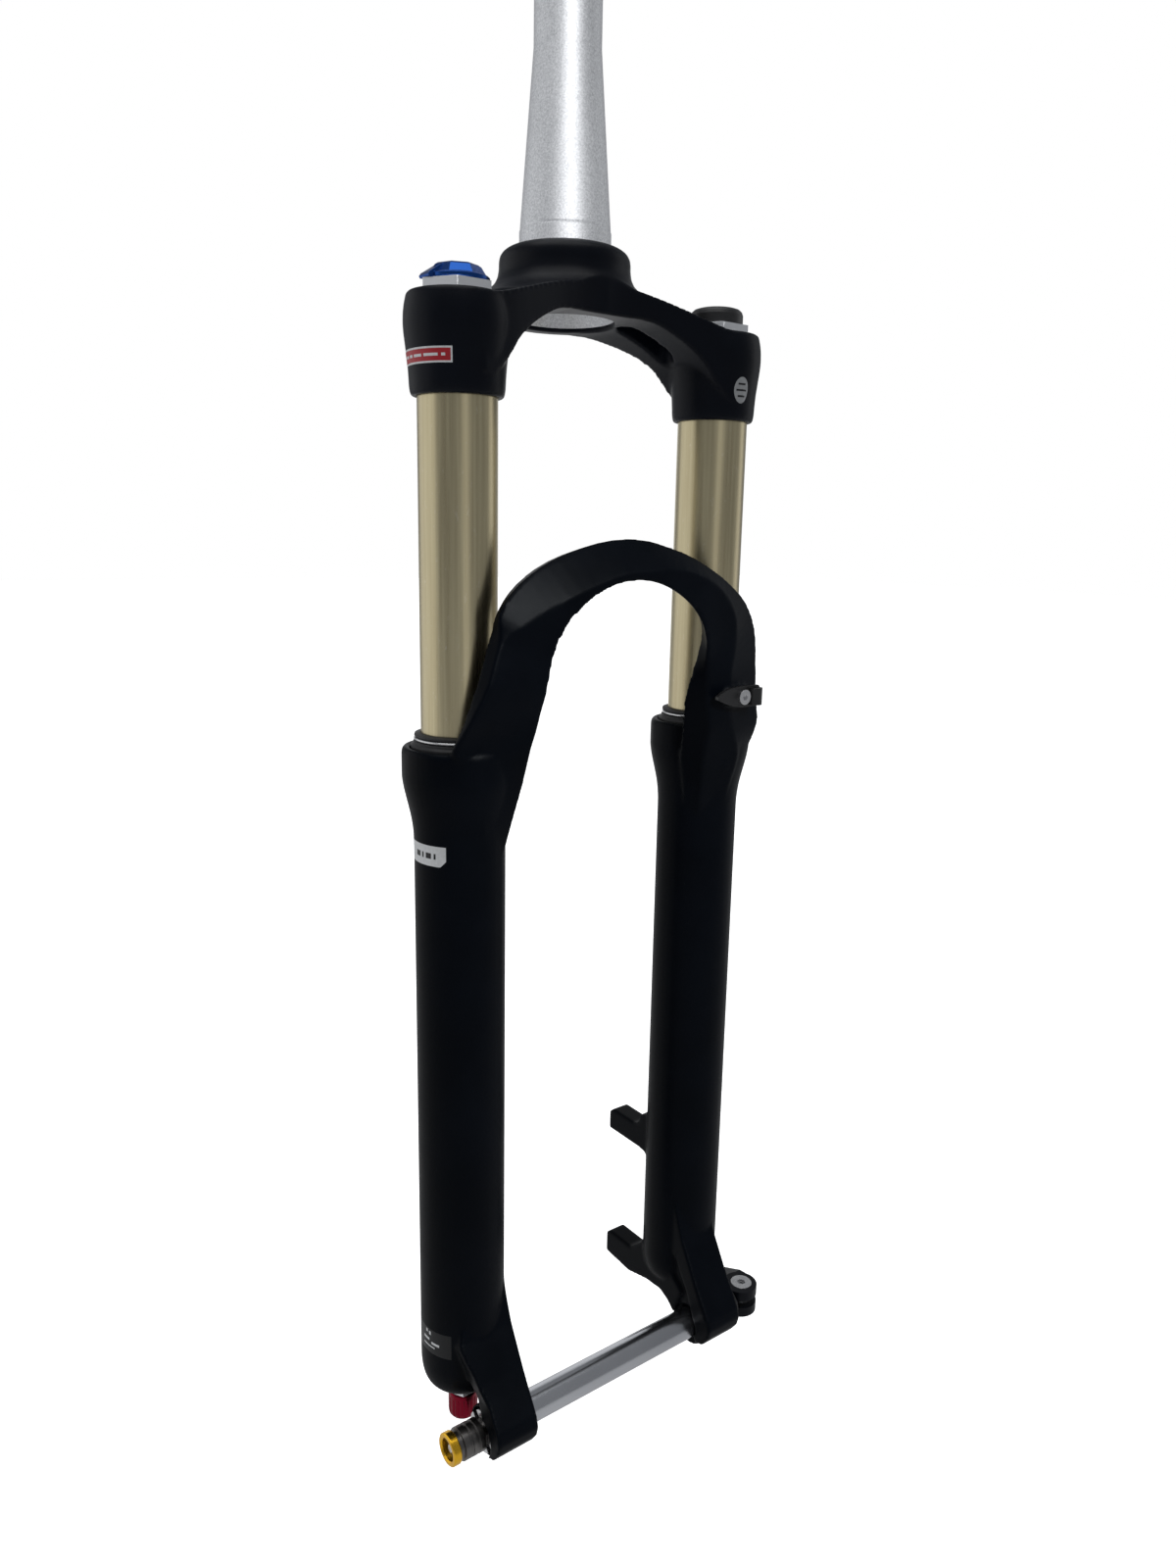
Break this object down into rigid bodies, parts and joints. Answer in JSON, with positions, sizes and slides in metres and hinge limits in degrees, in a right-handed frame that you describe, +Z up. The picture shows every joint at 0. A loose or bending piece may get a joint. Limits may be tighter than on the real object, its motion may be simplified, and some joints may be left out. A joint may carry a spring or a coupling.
{
  "type": "bicycle suspension fork",
  "caption": "Telescopic bicycle front fork with a tapered steerer, gold stanchions, black one-piece lowers and a quick-lock thru axle.",
  "frame": {"origin": "on the steerer axis, at the top face of the crown, where the headset's crown race sits", "axes": "+X to the rider's left, +Y backwards, +Z up along the steerer"},
  "size_m": [0.1949, 0.0955, 0.7926],
  "materials": {
    "satin_aluminium": "sand-blasted satin",
    "black_alloy": "matte black",
    "black_magnesium": "matte black",
    "gold_anodised": "polished champagne anodising",
    "black_rubber": "matte",
    "spring_steel": "bright",
    "foam": "open-cell foam",
    "bushing": "satin",
    "silver_anodised": "satin silver",
    "brass": "satin",
    "black_plastic": "moulded",
    "polished_aluminium": "polished",
    "inner_plastic": "moulded",
    "elastomer": "matte",
    "blue_anodised": "polished blue anodising",
    "red_anodised": "dark red anodising",
    "axle_steel": "polished",
    "grey_anodised": "machined grey",
    "yellow_anodised": "polished gold anodising"
  },
  "bodies": {
    "upper": {"steerer": "satin_aluminium", "crown": "black_alloy", "stanchion_left": "gold_anodised", "stanchion_right": "gold_anodised", "air_top_cap": "silver_anodised", "valve_core": "brass", "air_seal_head": "inner_plastic", "topout_bumper": "elastomer", "retaining_ring": "spring_steel", "damper_top_cap": "silver_anodised", "compression_valve": "polished_aluminium", "cartridge_tube": "polished_aluminium", "cartridge_head": "inner_plastic"},
    "lowers": {"lower_legs": "black_magnesium", "wiper_seals": "black_rubber", "garter_springs": "spring_steel", "foam_rings": "foam", "upper_bushings": "bushing", "lower_bushings": "bushing", "crush_washers": "bushing", "air_shaft": "polished_aluminium", "air_piston": "inner_plastic", "air_piston_seal": "black_rubber", "bottom_out_bumper": "elastomer", "foot_bolt": "spring_steel", "damper_rod": "polished_aluminium", "rebound_piston": "polished_aluminium", "piston_band": "bushing", "foot_nut": "silver_anodised", "hose_guide": "black_plastic", "hose_guide_bolt": "spring_steel", "axle_tube": "axle_steel", "lever_base": "black_plastic"},
    "lockout": {"lockout_dial": "blue_anodised", "lockout_spindle": "polished_aluminium"},
    "valve_cover": {"valve_cap": "black_plastic"},
    "valve_stem": {"valve_pin": "brass"},
    "rebound": {"rebound_knob": "red_anodised", "rebound_adjuster": "spring_steel"},
    "axle_end": {"draw_rod": "spring_steel", "axle_barrel": "grey_anodised", "lever_pin": "spring_steel", "release_spring": "spring_steel"},
    "lever": {"cam_lever": "black_alloy"},
    "push_ring": {"release_ring": "yellow_anodised"},
    "petal_1": {"flange_petal_1": "spring_steel"},
    "petal_2": {"flange_petal_2": "spring_steel"},
    "petal_3": {"flange_petal_3": "spring_steel"},
    "petal_4": {"flange_petal_4": "spring_steel"}
  },
  "joints": [
    {"name": "fork_travel", "type": "slide", "parent": "upper", "child": "lowers", "axis": [0, 0, 1], "range_m": [0, 0.12]},
    {"name": "lockout_turn", "type": "hinge", "parent": "upper", "child": "lockout", "pos_m": [-0.0685, -0.024, -0.0245], "axis": [0, 0, 1], "range_deg": [0, 90]},
    {"name": "valve_cap_lift", "type": "slide", "parent": "upper", "child": "valve_cover", "axis": [0, 0, 1], "range_m": [0, 0.012]},
    {"name": "valve_pin_press", "type": "slide", "parent": "upper", "child": "valve_stem", "axis": [0, 0, -1], "range_m": [0, 0.0015]},
    {"name": "rebound_turn", "type": "hinge", "parent": "lowers", "child": "rebound", "pos_m": [-0.0685, -0.024, -0.529], "axis": [0, 0, 1], "range_deg": [0, 720]},
    {"name": "axle_draw", "type": "slide", "parent": "lowers", "child": "axle_end", "axis": [1, 0, 0], "range_m": [-0.0015, 0]},
    {"name": "lever_swing", "type": "hinge", "parent": "axle_end", "child": "lever", "pos_m": [0.094, -0.048, -0.526], "axis": [0, 0, -1], "range_deg": [0, 180]},
    {"name": "ring_push", "type": "slide", "parent": "axle_end", "child": "push_ring", "axis": [1, 0, 0], "range_m": [0, 0.002]},
    {"name": "petal_1_fold", "type": "slide", "parent": "axle_end", "child": "petal_1", "axis": [0, -1, 0], "range_m": [0, 0.0028]},
    {"name": "petal_2_fold", "type": "slide", "parent": "axle_end", "child": "petal_2", "axis": [0, 0, -1], "range_m": [0, 0.0028]},
    {"name": "petal_3_fold", "type": "slide", "parent": "axle_end", "child": "petal_3", "axis": [0, 1, 0], "range_m": [0, 0.0028]},
    {"name": "petal_4_fold", "type": "slide", "parent": "axle_end", "child": "petal_4", "axis": [0, 0, 1], "range_m": [0, 0.0028]}
  ],
  "couplings": [
    {"joint": "axle_draw", "follows": "lever_swing", "m_per_rad": -0.00047746},
    {"joint": "petal_1_fold", "follows": "ring_push", "ratio": 1.4},
    {"joint": "petal_2_fold", "follows": "ring_push", "ratio": 1.4},
    {"joint": "petal_3_fold", "follows": "ring_push", "ratio": 1.4},
    {"joint": "petal_4_fold", "follows": "ring_push", "ratio": 1.4}
  ]
}
